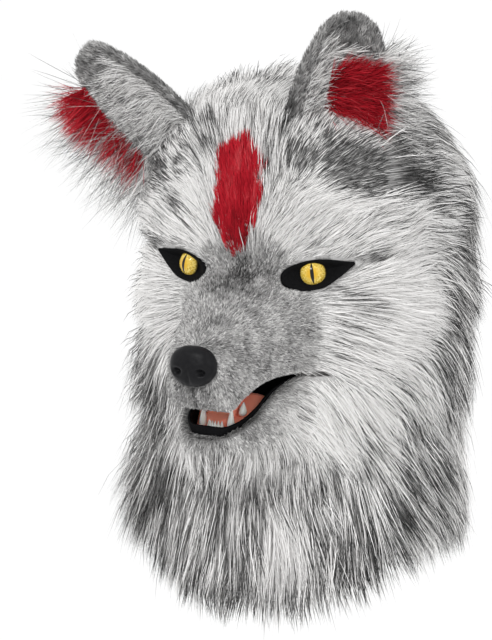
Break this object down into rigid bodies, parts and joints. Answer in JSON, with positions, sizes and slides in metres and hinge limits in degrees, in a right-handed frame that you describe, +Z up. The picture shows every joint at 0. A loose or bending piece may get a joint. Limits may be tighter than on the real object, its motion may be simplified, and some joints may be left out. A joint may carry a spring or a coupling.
{
  "type": "wolf mask",
  "caption": "Full-head wolf mask: a hollow hood in long grey and white fur with a plush muzzle, an open toothed jaw, amber eyes, upright cupped ears and red fur on brow and ears.",
  "frame": {"origin": "where the crown of the wearer's head touches the inside of the hood", "axes": "+Z up, -Y the way the face looks, +X the wolf's left"},
  "size_m": [0.3243, 0.3078, 0.4217],
  "materials": {
    "backing": "matte",
    "grey_plush": "matte short pile",
    "dark_plush": "matte short pile",
    "pale_fur": "long pile",
    "grey_fur": "long pile",
    "red_fur": "long pile",
    "black_cloth": "matte",
    "nose_vinyl": "satin",
    "pink_vinyl": "glossy",
    "tooth": "glossy",
    "amber_eye": "glossy"
  },
  "bodies": {
    "root": {"hood": "backing", "muzzle": "grey_plush", "nose": "nose_vinyl", "jaw": "grey_plush", "mouth_lining": "black_cloth", "gum": "pink_vinyl", "tongue": "pink_vinyl", "canine_left": "tooth", "canine_right": "tooth", "molar_left": "tooth", "molar_right": "tooth", "incisor_row": "tooth", "eye_surround_left": "black_cloth", "eye_surround_right": "black_cloth", "eye_left": "amber_eye", "eye_right": "amber_eye", "ear_left": "dark_plush", "ear_right": "dark_plush", "ear_lining_left": "pale_fur", "ear_lining_right": "pale_fur", "ear_red_fur_left": "red_fur", "ear_red_fur_right": "red_fur", "blaze_fur": "red_fur", "forehead_fur_left": "pale_fur", "forehead_fur_right": "pale_fur", "cheek_fur_left": "pale_fur", "cheek_fur_right": "pale_fur", "crown_fur": "grey_fur", "mane_fur": "grey_fur", "ruff_fur_left": "grey_fur", "ruff_fur_right": "grey_fur", "throat_fur": "grey_fur"}
  },
  "joints": []
}
